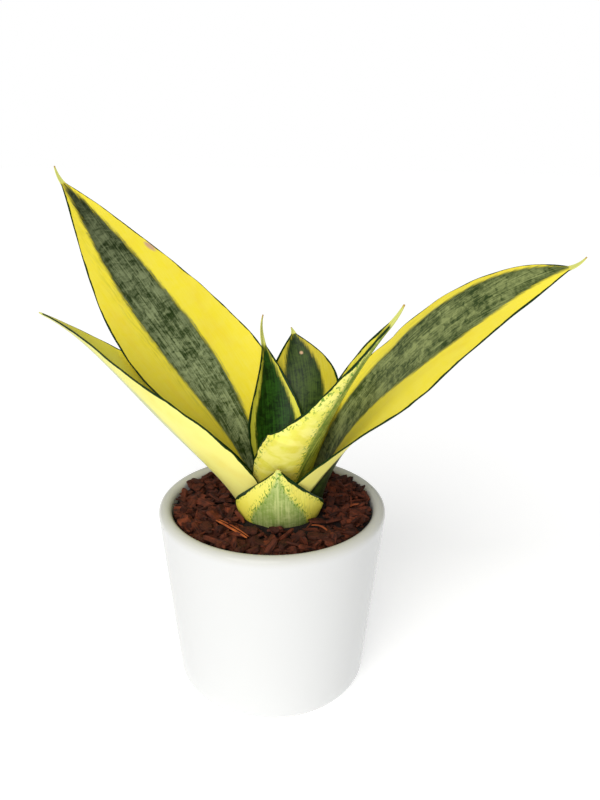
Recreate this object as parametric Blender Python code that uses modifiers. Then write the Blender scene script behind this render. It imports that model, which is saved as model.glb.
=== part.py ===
"""Potted snake plant: seven leaves on a short rhizome, in a round glazed pot topped with bark chips.

Metres, +Z up. The origin is the centre of the pot's flat base, and the plant's front faces -Y.
"""

import math
import random
from typing import NamedTuple

import bmesh
import bpy
import numpy as np
from mathutils import Matrix

# Pot
RIM_RADIUS = 0.060
BASE_RADIUS = 0.050
POT_HEIGHT = 0.102
WALL = 0.0066
FLOOR = 0.007
FOOT_ROUNDING = 0.0075
FLOOR_FILLET = 0.006
DRAIN_HOLE_RADIUS = 0.0045
DRAIN_CIRCLE_RADIUS = 0.024
DRAIN_HOLES = 3
POT_STEPS = 48
LIP_PIECES = 6
FOOT_PIECES = 3
FILLET_PIECES = 2
DRAIN_STEPS = 12

# Filling
GAP = 0.0003
MIX_TOP = 0.0838
BED_TOP = 0.0925
CROWN_X = 0.0035
CROWN_Y = 0.006
CROWN_HOLE_RADIUS = (0.0255, 0.0290)
RHIZOME_RADIUS = 0.018
RHIZOME_DEPTH = 0.028
RHIZOME_ROUNDING = 0.0054
RHIZOME_STEPS = 18
CROWN_HOLE_STEPS = 24
FILL_STEPS = 30
CUTTER_OVERRUN = 0.001
MERGE_DISTANCE = 0.00001

# Bark chips
CHIPS = 40
CHIP_LENGTH = (0.0070, 0.0120)
CHIP_WIDTH = (0.0042, 0.0070)
CHIP_HEIGHT = (0.0026, 0.0044)
CHIP_TILT = math.radians(5)
CHIP_SKEW = 0.22
CHIP_TOP_SHARE = 0.84
CHIP_SIDES = 6
CHIP_SEED = 11
CROWN_CLEARANCE = 0.0320

# Leaves: thickness, and how finely each one is lofted
LEAF_ROWS = 20
SPINE_ROWS = 3
LEAF_COLUMNS = 9
CURVE_STEPS = 240
LEAST_FOLD = 0.01
TIP_WIDTH = 0.0030
SPINE_END_WIDTH = 0.0007
MIDDLE_THICKNESS = (0.0020, 0.0011, 0.0006)
EDGE_THICKNESS = (0.0009, 0.0006, 0.0004)

# Colours, as linear red, green and blue
GLAZE_WHITE = (0.80, 0.81, 0.79)
MIX_BROWN = (0.045, 0.030, 0.020)
BARK_BROWN = (0.110, 0.036, 0.020)
BARK_RED = (0.190, 0.058, 0.028)
RHIZOME_CREAM = (0.55, 0.42, 0.22)
LEAF_YELLOW = (0.80, 0.68, 0.10)

# Roughness of each finish
GLAZE_ROUGHNESS = 0.15
MIX_ROUGHNESS = 0.95
BARK_ROUGHNESS = 0.9
RHIZOME_ROUGHNESS = 0.6
LEAF_ROUGHNESS = 0.4


class Leaf(NamedTuple):
    """One leaf. Each row of four is read at its base, a third and two thirds of its length, and its tip."""

    name: str
    wrap_radius: float  # of its sheath round the crown's centre
    base_height: float
    length: float
    width: float
    widest_at: float  # share of the length
    rise: float  # how late it widens below its widest place
    fullness: float  # how long it stays wide above its widest place
    compass: tuple  # degrees round +Z from +X, the way that it leans
    lean: tuple  # degrees from upright
    twist: tuple  # degrees about its own length
    fold: tuple  # degrees, half the angle that its gutter curls round
    spine_length: float
    spine_compass: float
    spine_lean: float


LEAVES = (
    Leaf(
        name="leaf_front_short",
        wrap_radius=0.0213,
        base_height=0.0878,
        length=0.052,
        width=0.0562,
        widest_at=0.31,
        rise=1.0,
        fullness=1.52,
        compass=(-89, -90, -93, -96),
        lean=(37, 32, 16, -3),
        twist=(0, 0, 2, 5),
        fold=(60, 67, 57, 51),
        spine_length=0.0015,
        spine_compass=-96,
        spine_lean=0,
    ),
    Leaf(
        name="leaf_right",
        wrap_radius=0.019,
        base_height=0.0858,
        length=0.194,
        width=0.0656,
        widest_at=0.55,
        rise=1.06,
        fullness=1.93,
        compass=(-20, -18, -13, -10),
        lean=(4, 29, 46, 72),
        twist=(6, -19, -20, -33),
        fold=(98, 35, -12, 8),
        spine_length=0.009,
        spine_compass=-8,
        spine_lean=35,
    ),
    Leaf(
        name="leaf_left",
        wrap_radius=0.0160,
        base_height=0.0884,
        length=0.153,
        width=0.0673,
        widest_at=0.45,
        rise=0.67,
        fullness=1.65,
        compass=(198, 188, 186, 183),
        lean=(14, 41, 40, 63),
        twist=(-1, -5, -7, -17),
        fold=(53, 65, 37, 6),
        spine_length=0.002,
        spine_compass=178,
        spine_lean=75,
    ),
    Leaf(
        name="leaf_front_right",
        wrap_radius=0.012,
        base_height=0.0876,
        length=0.143,
        width=0.05,
        widest_at=0.5,
        rise=1.14,
        fullness=0.62,
        compass=(-78, -60, -40, -20),
        lean=(5, 33, 30, 37),
        twist=(-2, -4, -15, -23),
        fold=(67, 72, 74, 66),
        spine_length=0.011,
        spine_compass=-5,
        spine_lean=24,
    ),
    Leaf(
        name="leaf_tall_left",
        wrap_radius=0.0096,
        base_height=0.0868,
        length=0.213,
        width=0.0783,
        widest_at=0.4,
        rise=1.11,
        fullness=1.42,
        compass=(152, 155, 153, 154),
        lean=(7, 36, 42, 46),
        twist=(-9, 13, 24, 22),
        fold=(103, 44, 6, 15),
        spine_length=0.0108,
        spine_compass=156,
        spine_lean=14,
    ),
    Leaf(
        name="leaf_back",
        wrap_radius=0.0073,
        base_height=0.0876,
        length=0.102,
        width=0.0484,
        widest_at=0.56,
        rise=1.19,
        fullness=1.91,
        compass=(45, 57, 95, 112),
        lean=(8, 15, 31, 33),
        twist=(4, 15, 20, 15),
        fold=(98, 82, 36, 32),
        spine_length=0.004,
        spine_compass=170,
        spine_lean=20,
    ),
    Leaf(
        name="leaf_centre",
        wrap_radius=0.005,
        base_height=0.0892,
        length=0.091,
        width=0.0332,
        widest_at=0.54,
        rise=1.15,
        fullness=1.22,
        compass=(105, 101, 112, 129),
        lean=(9, 13, 17, 21),
        twist=(6, 8, 4, 0),
        fold=(96, 72, 39, 45),
        spine_length=0.0175,
        spine_compass=165,
        spine_lean=-16,
    ),
)


def clear_scene():
    for old in list(bpy.data.objects):
        bpy.data.objects.remove(old, do_unlink=True)


def new_collection(name):
    collection = bpy.data.collections.new(name)
    bpy.context.scene.collection.children.link(collection)
    return collection


def new_material(name, colour, roughness):
    material = bpy.data.materials.new(name)
    material.use_nodes = True
    shader = material.node_tree.nodes["Principled BSDF"]
    shader.inputs["Base Color"].default_value = (*colour, 1.0)
    shader.inputs["Roughness"].default_value = roughness
    shader.inputs["Metallic"].default_value = 0.0
    material.diffuse_color = (*colour, 1.0)
    return material


def new_object(name, points, edges, faces, collection, colour, roughness):
    mesh = bpy.data.meshes.new(name)
    mesh.from_pydata(points, edges, faces)
    piece = bpy.data.objects.new(name, mesh)
    piece.data.materials.append(new_material(f"{name}_finish", colour, roughness))
    collection.objects.link(piece)
    return piece


def arc(centre_x, centre_z, radius, start, end, pieces):
    """Points along an arc in the XZ plane, its angles counted from +X towards +Z."""
    angles = [start + (end - start) * step / pieces for step in range(pieces + 1)]
    return [(centre_x + radius * math.cos(a), centre_z + radius * math.sin(a)) for a in angles]


def turned(name, profile, steps, collection, colour, roughness):
    """A body of revolution round Z, from a profile that starts and ends on the axis."""
    points = [(x, 0.0, z) for x, z in profile]
    edges = [(i, i + 1) for i in range(len(points) - 1)]
    piece = new_object(name, points, edges, [], collection, colour, roughness)
    screw = piece.modifiers.new("turn", "SCREW")
    screw.axis = "Z"
    screw.angle = math.tau
    screw.steps = steps
    screw.render_steps = steps
    screw.use_merge_vertices = True
    screw.merge_threshold = MERGE_DISTANCE
    screw.use_smooth_shade = True
    return piece


def cutter(name, radius_low, radius_high, low, high, place, collection, segments):
    """A round upright cutter, straight or conical, from height low to height high."""
    mesh = bpy.data.meshes.new(name)
    shape = bmesh.new()
    middle = Matrix.Translation((place[0], place[1], (low + high) / 2))
    bmesh.ops.create_cone(
        shape,
        cap_ends=True,
        segments=segments,
        radius1=radius_low,
        radius2=radius_high,
        depth=high - low,
        matrix=middle,
    )
    shape.to_mesh(mesh)
    shape.free()
    tool = bpy.data.objects.new(name, mesh)
    tool.hide_render = True
    tool.display_type = "WIRE"
    collection.objects.link(tool)
    return tool


def cut(piece, tool):
    boolean = piece.modifiers.new(f"cut {tool.name}", "BOOLEAN")
    boolean.operation = "DIFFERENCE"
    boolean.object = tool


TAPER = math.atan2(RIM_RADIUS - BASE_RADIUS, POT_HEIGHT)


def wall_radius(height, inset=0.0):
    """Radius of the pot's outer side at a height, or of a surface inset from it."""
    return RIM_RADIUS - (POT_HEIGHT - height) * math.tan(TAPER) - inset


def filleted_corner(bottom, inset, radius, pieces):
    """The rounded corner between a tapered side and a flat bottom, from the side down to the bottom."""
    side_end = bottom + radius * (1 - math.sin(TAPER))
    centre_x = wall_radius(side_end, inset) - radius * math.cos(TAPER)
    return arc(centre_x, bottom + radius, radius, -TAPER, -math.pi / 2, pieces)


def make_pot(parts, cutters):
    """A tapered vessel with one flowing wall, a full round lip, a rounded foot and three drain holes."""
    inner = list(reversed(filleted_corner(FLOOR, WALL, FLOOR_FILLET, FILLET_PIECES)))
    lip_radius = WALL / 2
    lip_height = POT_HEIGHT - lip_radius
    lip_centre = wall_radius(lip_height, lip_radius)
    lip = arc(lip_centre, lip_height, lip_radius, math.pi - TAPER, -TAPER, LIP_PIECES)
    foot = filleted_corner(0.0, 0.0, FOOT_ROUNDING, FOOT_PIECES)
    profile = [(0.0, FLOOR)] + inner + lip + foot + [(0.0, 0.0)]
    pot = turned("pot", profile, POT_STEPS, parts, GLAZE_WHITE, GLAZE_ROUGHNESS)
    for number in range(DRAIN_HOLES):
        angle = math.tau * (number + 0.5) / DRAIN_HOLES
        place = (DRAIN_CIRCLE_RADIUS * math.cos(angle), DRAIN_CIRCLE_RADIUS * math.sin(angle))
        hole = (DRAIN_HOLE_RADIUS, DRAIN_HOLE_RADIUS, -FLOOR, 2 * FLOOR)
        cut(pot, cutter(f"drain_cutter_{number + 1}", *hole, place, cutters, DRAIN_STEPS))


def make_filling(parts, cutters):
    """The potting mix with a pocket for the rhizome, the rhizome, and the packed bark round the crown."""
    side = WALL + GAP
    bottom = filleted_corner(FLOOR + GAP, side, FLOOR_FILLET, FILLET_PIECES)
    profile = [(0.0, MIX_TOP), (wall_radius(MIX_TOP, side), MIX_TOP)] + bottom + [(0.0, FLOOR + GAP)]
    mix = turned("potting_mix", profile, FILL_STEPS, parts, MIX_BROWN, MIX_ROUGHNESS)
    crown = (CROWN_X, CROWN_Y)
    pocket_floor = MIX_TOP - RHIZOME_DEPTH
    pocket = RHIZOME_RADIUS + GAP
    hole = (pocket, pocket, pocket_floor, MIX_TOP + CUTTER_OVERRUN)
    cut(mix, cutter("rhizome_pocket", *hole, crown, cutters, RHIZOME_STEPS))

    corner = RHIZOME_ROUNDING
    edge = RHIZOME_RADIUS - corner
    top = arc(edge, MIX_TOP - corner, corner, math.pi / 2, 0.0, FILLET_PIECES)
    below = arc(edge, pocket_floor + GAP + corner, corner, 0.0, -math.pi / 2, FILLET_PIECES)
    knob = [(0.0, MIX_TOP)] + top + below + [(0.0, pocket_floor + GAP)]
    rhizome = turned("rhizome", knob, RHIZOME_STEPS, parts, RHIZOME_CREAM, RHIZOME_ROUGHNESS)
    rhizome.location = (CROWN_X, CROWN_Y, 0.0)

    bed_floor = MIX_TOP + GAP
    top_edge = (wall_radius(BED_TOP, side), BED_TOP)
    profile = [(0.0, BED_TOP), top_edge, (wall_radius(bed_floor, side), bed_floor), (0.0, bed_floor)]
    bed = turned("bark_bed", profile, FILL_STEPS, parts, BARK_BROWN, BARK_ROUGHNESS)
    low, high = CROWN_HOLE_RADIUS
    hole = (low, high, bed_floor - CUTTER_OVERRUN, BED_TOP + CUTTER_OVERRUN)
    cut(bed, cutter("crown_hole", *hole, crown, cutters, CROWN_HOLE_STEPS))


def rectangle(x, y, length, width, turn):
    """The four corners of a turned rectangle."""
    along = np.array([math.cos(turn), math.sin(turn)]) * length / 2
    across = np.array([-math.sin(turn), math.cos(turn)]) * width / 2
    centre = np.array([x, y])
    corners = (along + across, across - along, -along - across, along - across)
    return np.array([centre + corner for corner in corners])


def apart(first, second):
    """True where an edge direction of either rectangle separates the two."""
    for corners in (first, second):
        for side in (corners[0] - corners[1], corners[1] - corners[2]):
            normal = np.array([-side[1], side[0]]) / np.hypot(*side)
            one, other = first @ normal, second @ normal
            if one.max() + GAP < other.min() or other.max() + GAP < one.min():
                return True
    return False


def make_chip(name, size, place, turn, tilts, dice, parts):
    """A split flake of bark: a flat prism with a smaller top, whose corners are pulled inwards unevenly."""
    mesh = bpy.data.meshes.new(name)
    shape = bmesh.new()
    bmesh.ops.create_cone(
        shape, cap_ends=True, segments=CHIP_SIDES, radius1=0.5, radius2=0.5 * CHIP_TOP_SHARE, depth=1.0
    )
    for vert in shape.verts:
        for axis in range(3):
            inward = 1 - CHIP_SKEW * dice.random()
            vert.co[axis] *= size[axis] * inward
    shape.to_mesh(mesh)
    shape.free()
    chip = bpy.data.objects.new(name, mesh)
    shade = dice.random()
    colour = tuple(a + (b - a) * shade for a, b in zip(BARK_BROWN, BARK_RED))
    chip.data.materials.append(new_material(f"{name}_finish", colour, BARK_ROUGHNESS))
    chip.location = place
    chip.rotation_euler = (tilts[0], tilts[1], turn)
    parts.objects.link(chip)


def make_chips(parts):
    """Loose bark chips on the packed bark, each tried at seeded random places until it touches nothing."""
    dice = random.Random(CHIP_SEED)
    placed = []
    while len(placed) < CHIPS:
        size = [dice.uniform(*limits) for limits in (CHIP_LENGTH, CHIP_WIDTH, CHIP_HEIGHT)]
        bearing = dice.uniform(0.0, math.tau)
        outermost = wall_radius(BED_TOP, WALL + GAP)
        distance = math.sqrt(dice.uniform(0.0, outermost**2))
        x, y = distance * math.cos(bearing), distance * math.sin(bearing)
        turn = dice.uniform(0.0, math.tau)
        tilts = [dice.uniform(-CHIP_TILT, CHIP_TILT) for _ in range(2)]
        corners = rectangle(x, y, size[0], size[1], turn)
        outline = np.vstack([corners, (corners + np.roll(corners, 1, axis=0)) / 2])
        if np.hypot(*outline.T).max() > outermost - GAP:
            continue
        if np.hypot(outline[:, 0] - CROWN_X, outline[:, 1] - CROWN_Y).min() < CROWN_CLEARANCE:
            continue
        if not all(apart(corners, other) for other in placed):
            continue
        placed.append(corners)
        lift = size[2] / 2 + size[1] / 2 * abs(math.sin(tilts[0])) + size[0] / 2 * abs(math.sin(tilts[1]))
        place = (x, y, BED_TOP + GAP + lift)
        make_chip(f"bark_chip_{len(placed):02d}", size, place, turn, tilts, dice, parts)


def along_leaf(values, share):
    """A smooth curve through four values, at shares 0, 1/3, 2/3 and 1 of the length."""
    u = 3 * share
    first, second, third, fourth = values
    return (
        first * (1 - u) * (2 - u) * (3 - u) / 6
        + second * u * (2 - u) * (3 - u) / 2
        + third * u * (u - 1) * (3 - u) / 2
        + fourth * u * (u - 1) * (u - 2) / 6
    )


def leaf_width(leaf, share):
    """Width over the curve: it swells on a sine from the sheath, then tapers on a power to the tip."""
    sheath = 2 * math.radians(leaf.fold[0]) * leaf.wrap_radius
    below = np.clip(share / leaf.widest_at, 0, 1)
    above = np.clip((share - leaf.widest_at) / (1 - leaf.widest_at), 0, 1)
    swelling = sheath + (leaf.width - sheath) * np.sin(math.pi / 2 * below) ** leaf.rise
    tapering = TIP_WIDTH + (leaf.width - TIP_WIDTH) * (1 - above**leaf.fullness)
    return np.where(share < leaf.widest_at, swelling, tapering)


def leaf_frames(leaf, share, beyond):
    """For each row: a point of the middle line, the direction across the leaf, and the way its gutter opens.

    The middle line is summed from its direction, which a compass angle and a lean give. Past the tip, beyond
    runs from 0 to 1 along the spine, and the direction turns towards the spine's own.
    """

    def mixed(values, spine_value):
        blade = along_leaf(values, share)
        return np.radians(blade + (spine_value - values[3]) * beyond)

    compass = mixed(leaf.compass, leaf.spine_compass)
    lean = mixed(leaf.lean, leaf.spine_lean)
    twist = np.radians(along_leaf(leaf.twist, share))
    upward = np.cos(lean)
    outward = np.sin(lean)
    direction = np.stack([outward * np.cos(compass), outward * np.sin(compass), upward], axis=1)
    inner = np.stack([-upward * np.cos(compass), -upward * np.sin(compass), outward], axis=1)
    sideways = np.cross(inner, direction)
    turn, keep = np.sin(twist)[:, None], np.cos(twist)[:, None]
    opening = keep * inner + turn * sideways
    across = keep * sideways - turn * inner
    walked = leaf.length * share + leaf.spine_length * beyond
    steps = (direction[1:] + direction[:-1]) / 2 * np.diff(walked)[:, None]
    start = math.radians(leaf.compass[0])
    foot = np.array(
        [
            CROWN_X + leaf.wrap_radius * math.cos(start),
            CROWN_Y + leaf.wrap_radius * math.sin(start),
            leaf.base_height,
        ]
    )
    middle = foot + np.vstack([np.zeros(3), np.cumsum(steps, axis=0)])
    return middle, across, opening


def make_leaf(leaf, parts):
    """A closed loft: each row is a slice of a bent gutter, thick at its middle and thin at its margins."""
    fine = np.linspace(0, 1, CURVE_STEPS + 1)
    share = np.concatenate([fine, np.ones(CURVE_STEPS)])
    beyond = np.concatenate([np.zeros(CURVE_STEPS + 1), fine[1:]])
    blade_rows = np.linspace(0, CURVE_STEPS, LEAF_ROWS).round().astype(int)
    spine_rows = CURVE_STEPS + np.linspace(0, CURVE_STEPS, SPINE_ROWS + 1).round().astype(int)[1:]
    rows = np.concatenate([blade_rows, spine_rows])
    middle, across, opening = (values[rows] for values in leaf_frames(leaf, share, beyond))
    share, beyond = share[rows], beyond[rows]

    place = np.linspace(-1, 1, LEAF_COLUMNS)[None, :]
    fold = np.maximum(np.radians(along_leaf(leaf.fold, share)), LEAST_FOLD)[:, None]
    width = leaf_width(leaf, share) + (SPINE_END_WIDTH - TIP_WIDTH) * beyond
    radius = width[:, None] / (2 * fold)
    stages = np.array([0.0, 1.0, 2.0])
    thick = np.interp(share + beyond, stages, MIDDLE_THICKNESS)[:, None]
    thin = np.interp(share + beyond, stages, EDGE_THICKNESS)[:, None]
    depth = thin + (thick - thin) * (1 - place**2)

    def shell(offset):
        turned_by = place * fold
        sideways = (radius + offset) * np.sin(turned_by)
        rising = radius - (radius + offset) * np.cos(turned_by)
        return middle[:, None] + sideways[..., None] * across[:, None] + rising[..., None] * opening[:, None]

    ring = np.concatenate([shell(0.0), shell(depth)[:, ::-1]], axis=1)
    count = 2 * LEAF_COLUMNS
    last = (len(rows) - 1) * count
    faces = [
        (row + i, row + (i + 1) % count, row + count + (i + 1) % count, row + count + i)
        for row in range(0, last, count)
        for i in range(count)
    ]
    for i in range(LEAF_COLUMNS - 1):
        opposite = count - 1 - i
        faces.append((i + 1, i, opposite, opposite - 1))
        faces.append((last + i, last + i + 1, last + opposite - 1, last + opposite))
    points = ring.reshape(-1, 3).tolist()
    piece = new_object(leaf.name, points, [], faces, parts, LEAF_YELLOW, LEAF_ROUGHNESS)
    shape = bmesh.new()
    shape.from_mesh(piece.data)
    bmesh.ops.recalc_face_normals(shape, faces=shape.faces)
    shape.to_mesh(piece.data)
    shape.free()
    piece.data.shade_smooth()


def main():
    clear_scene()
    parts = new_collection("potted_snake_plant")
    cutters = new_collection("cutters")
    cutters.hide_render = True
    make_pot(parts, cutters)
    make_filling(parts, cutters)
    make_chips(parts)
    for leaf in LEAVES:
        make_leaf(leaf, parts)


main()
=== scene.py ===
"""Potted snake plant: its looks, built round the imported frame. Laid out as an add-on and run as a script.

Metres, +Z up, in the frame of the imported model: the origin is the centre of the pot's flat base, and the
plant's front faces -Y. Each piece is a surface worked out with numpy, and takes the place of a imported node
or joins one that stays.
"""

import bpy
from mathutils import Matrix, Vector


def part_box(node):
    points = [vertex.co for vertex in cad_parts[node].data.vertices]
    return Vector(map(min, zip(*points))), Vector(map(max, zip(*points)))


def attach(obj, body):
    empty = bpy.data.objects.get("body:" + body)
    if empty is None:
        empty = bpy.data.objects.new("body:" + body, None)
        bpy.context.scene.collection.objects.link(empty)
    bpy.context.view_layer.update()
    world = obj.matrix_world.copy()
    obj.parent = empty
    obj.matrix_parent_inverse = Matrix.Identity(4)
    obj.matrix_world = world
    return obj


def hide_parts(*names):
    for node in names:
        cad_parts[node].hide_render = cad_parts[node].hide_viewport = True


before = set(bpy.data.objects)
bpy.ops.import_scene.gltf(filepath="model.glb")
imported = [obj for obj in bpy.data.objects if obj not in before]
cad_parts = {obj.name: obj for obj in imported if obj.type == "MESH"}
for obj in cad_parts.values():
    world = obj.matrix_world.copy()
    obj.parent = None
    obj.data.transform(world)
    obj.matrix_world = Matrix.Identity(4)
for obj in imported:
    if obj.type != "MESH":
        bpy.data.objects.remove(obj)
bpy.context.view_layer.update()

import math
from functools import partial
from typing import NamedTuple

import bpy
import numpy as np
from bpy.props import FloatProperty, FloatVectorProperty, IntProperty, PointerProperty
from mathutils import Matrix, Vector
from mathutils.bvhtree import BVHTree

bl_info = {
    "name": "Potted snake plant",
    "version": (1, 0, 0),
    "blender": (4, 5, 0),
    "location": "3D View > Sidebar > Plant",
    "description": "Builds a yellow-margined snake plant in a glazed pot topped with bark",
    "category": "Add Mesh",
}

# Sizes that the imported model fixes
RIM_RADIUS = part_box("pot")[1].x
POT_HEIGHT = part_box("pot")[1].z
BASE_RADIUS = 0.050
WALL = 0.0066
FLOOR = 0.007
FOOT_ROUNDING = 0.0075
FLOOR_FILLET = 0.006
DRAIN_HOLE_RADIUS = 0.0045
DRAIN_CIRCLE_RADIUS = 0.024
DRAIN_HOLES = 3
BED_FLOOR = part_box("bark_bed")[0].z
BED_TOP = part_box("bark_bed")[1].z
CROWN = np.array([0.0035, 0.006])
GAP = 0.0003

# Leaf sections, from the base of a leaf to the end of its blade and to the end of its spine
TIP_WIDTH = 0.0030
SPINE_END_WIDTH = 0.0007
MIDDLE_THICKNESS = (0.0020, 0.0011, 0.0006)
EDGE_THICKNESS = (0.0009, 0.0006, 0.0004)


class Leaf(NamedTuple):
    """One leaf. Each row of four is read at its base, a third and two thirds of its length, and its tip."""

    name: str
    wrap_radius: float  # of its sheath round the crown's centre
    base_height: float
    length: float
    width: float
    widest_at: float  # share of the length
    rise: float  # how late it widens below its widest place
    fullness: float  # how long it stays wide above its widest place
    compass: tuple  # degrees round +Z from +X, the way that it leans
    lean: tuple  # degrees from upright
    twist: tuple  # degrees about its own length
    fold: tuple  # degrees, half the angle that its gutter curls round
    spine_length: float
    spine_compass: float
    spine_lean: float


LEAVES = (
    Leaf(
        name="leaf_front_short", length=0.052, width=0.0562, widest_at=0.31, rise=1.0, fullness=1.52,
        wrap_radius=0.0213, base_height=0.0878, spine_length=0.0015, spine_compass=-96, spine_lean=0,
        compass=(-89, -90, -93, -96), lean=(37, 32, 16, -3),
        twist=(0, 0, 2, 5), fold=(60, 67, 57, 51),
    ),
    Leaf(
        name="leaf_right", length=0.194, width=0.0656, widest_at=0.55, rise=1.06, fullness=1.93,
        wrap_radius=0.019, base_height=0.0858, spine_length=0.009, spine_compass=-8, spine_lean=35,
        compass=(-20, -18, -13, -10), lean=(4, 29, 46, 72),
        twist=(6, -19, -20, -33), fold=(98, 35, -12, 8),
    ),
    Leaf(
        name="leaf_left", length=0.153, width=0.0673, widest_at=0.45, rise=0.67, fullness=1.65,
        wrap_radius=0.0160, base_height=0.0884, spine_length=0.002, spine_compass=178, spine_lean=75,
        compass=(198, 188, 186, 183), lean=(14, 41, 40, 63),
        twist=(-1, -5, -7, -17), fold=(53, 65, 37, 6),
    ),
    Leaf(
        name="leaf_front_right", length=0.143, width=0.05, widest_at=0.5, rise=1.14, fullness=0.62,
        wrap_radius=0.012, base_height=0.0876, spine_length=0.011, spine_compass=-5, spine_lean=24,
        compass=(-78, -60, -40, -20), lean=(5, 33, 30, 37),
        twist=(-2, -4, -15, -23), fold=(67, 72, 74, 66),
    ),
    Leaf(
        name="leaf_tall_left", length=0.213, width=0.0783, widest_at=0.4, rise=1.11, fullness=1.42,
        wrap_radius=0.0096, base_height=0.0868, spine_length=0.0108, spine_compass=156, spine_lean=14,
        compass=(152, 155, 153, 154), lean=(7, 36, 42, 46),
        twist=(-9, 13, 24, 22), fold=(103, 44, 6, 15),
    ),
    Leaf(
        name="leaf_back", length=0.102, width=0.0484, widest_at=0.56, rise=1.19, fullness=1.91,
        wrap_radius=0.0073, base_height=0.0876, spine_length=0.004, spine_compass=170, spine_lean=20,
        compass=(45, 57, 95, 112), lean=(8, 15, 31, 33),
        twist=(4, 15, 20, 15), fold=(98, 82, 36, 32),
    ),
    Leaf(
        name="leaf_centre", length=0.091, width=0.0332, widest_at=0.54, rise=1.15, fullness=1.22,
        wrap_radius=0.005, base_height=0.0892, spine_length=0.0175, spine_compass=165, spine_lean=-16,
        compass=(105, 101, 112, 129), lean=(9, 13, 17, 21),
        twist=(6, 8, 4, 0), fold=(96, 72, 39, 45),
    ),
)


class Look(NamedTuple):
    """One leaf's colours. Band figures are shares of the half width, read like a leaf's rows of four."""

    flank: str  # upper face, outside the band
    dark: str  # the band's two tones on the upper face
    light: str
    under_flank: str
    under_tip: str  # the underside's flank near the tip
    under_dark: str
    under_light: str
    half: tuple  # half the band's width on the upper face
    under_half: tuple
    rim_line: float  # metres, the dark line along the margin
    fringe: float  # strength of the olive fringe beside the band
    centre: tuple = (0, 0, 0, 0)  # middle of the band, from -1 at one margin to 1 at the other
    under_centre: tuple = (0, 0, 0, 0)
    stripes: tuple = (0.3, 0.7)  # strength of the parallel lines, on the upper face and on the underside
    cream: tuple = (0.08, 0.3)  # strength of the creamy cross patches on the flanks, on either face
    specks: float = 0.0  # strength of the green specks near the margins and round the band
    lift: tuple = (1.0, 1.0)  # painted light: how much lighter the band is at the base and at the tip
    shade: float = 0.3  # how much painted shade deepens and warms the underside at the base
    keel: float = 0.0  # strength of the pale line along the keel
    scars: tuple = ()  # on the upper face: share of the length, share of the half width, and two radii


LOOKS = {
    "leaf_front_short": Look(
        flank="#E9DD44", dark="#2C4A1A", light="#6E8A3C",
        under_flank="#F8EA44", under_tip="#E6E274", under_dark="#8EA452", under_light="#C4CE84",
        half=(0.5, 0.5, 0.45, 0.2),
        under_half=(0.3, 0.5, 0.42, 0.08),
        stripes=(0.3, 0.5), cream=(0.1, 0.1), rim_line=0.0021, fringe=0.3, specks=1.0, keel=0.8, shade=1.1,
    ),
    "leaf_right": Look(
        flank="#FCEA3E", dark="#25350F", light="#828B56",
        under_flank="#FFF67E", under_tip="#F0EC90", under_dark="#0E1C07", under_light="#40521F",
        centre=(0.5, 0.33, 0.17, 0.3), half=(0.2, 0.33, 0.61, 0.5),
        under_centre=(0, 0, 0, 0.1), under_half=(0.62, 0.6, 0.5, 0.4),
        stripes=(0.3, 1.2), rim_line=0.0010, fringe=0.15, lift=(1.7, 1.35), shade=0.0,
    ),
    "leaf_left": Look(
        flank="#FFF64A", dark="#5E6E28", light="#A8A850",
        under_flank="#FCF488", under_tip="#DEE07C", under_dark="#BEC690", under_light="#D8DCB2",
        half=(0.15, 0.2, 0.25, 0.15),
        under_half=(0.08, 0.3, 0.55, 0.6),
        stripes=(0.2, 0.3), cream=(0.1, 0.3), rim_line=0.0010, fringe=0.0, shade=0.0,
    ),
    "leaf_front_right": Look(
        flank="#E6DC38", dark="#2C4014", light="#6C7C3C",
        under_flank="#F0E64A", under_tip="#D0D66A", under_dark="#5E7228", under_light="#B4BE5A",
        centre=(0.3, 0.2, 0.15, 0.0), half=(0.4, 0.45, 0.45, 0.3),
        under_centre=(0.45, 0.38, 0.10, 0.0), under_half=(0.35, 0.38, 0.50, 0.9),
        stripes=(0.3, 1.0), cream=(0.1, 0.6), rim_line=0.0010, fringe=0.5, specks=0.9, shade=1.2,
    ),
    "leaf_tall_left": Look(
        flank="#F3E136", dark="#1F2E0B", light="#7C8660",
        under_flank="#EAE478", under_tip="#DCDC84", under_dark="#3C5020", under_light="#8E9C58",
        centre=(-0.05, -0.03, 0.02, -0.02), half=(0.2, 0.32, 0.43, 0.5),
        under_half=(0.25, 0.33, 0.42, 0.4),
        rim_line=0.0009, fringe=0.25, lift=(2.5, 0.45),
        scars=((0.755, -0.90, 0.0035, 0.0014),),
    ),
    "leaf_back": Look(
        flank="#C2B428", dark="#14260A", light="#42561E",
        under_flank="#E2DA60", under_tip="#D0D06C", under_dark="#3A5420", under_light="#88964A",
        centre=(0, 0, -0.04, 0), half=(0.45, 0.5, 0.5, 0.72),
        under_half=(0.4, 0.45, 0.45, 0.4),
        stripes=(0.4, 0.7), cream=(0.0, 0.3), rim_line=0.0013, fringe=0.3,
        scars=((0.89, -0.18, 0.0009, 0.0009),),
    ),
    "leaf_centre": Look(
        flank="#DAD844", dark="#0C2404", light="#2A5412",
        under_flank="#DCD650", under_tip="#C8CE60", under_dark="#2E4E18", under_light="#7C9440",
        centre=(0, -0.02, -0.02, 0), half=(0.6, 0.72, 0.70, 0.6),
        under_half=(0.5, 0.55, 0.5, 0.4),
        stripes=(0.4, 0.7), cream=(0.0, 0.3), rim_line=0.0014, fringe=0.2,
    ),
}


def linear(colour):
    """Linear colour of an sRGB hex colour: a straight part near black, and a power of 2.4 above it."""
    values = np.array([int(colour[i : i + 2], 16) for i in (1, 3, 5)]) / 255
    curved = ((values + 0.055) / 1.055) ** 2.4
    return tuple(float(v) for v in np.where(values <= 0.04045, values / 12.92, curved))


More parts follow.
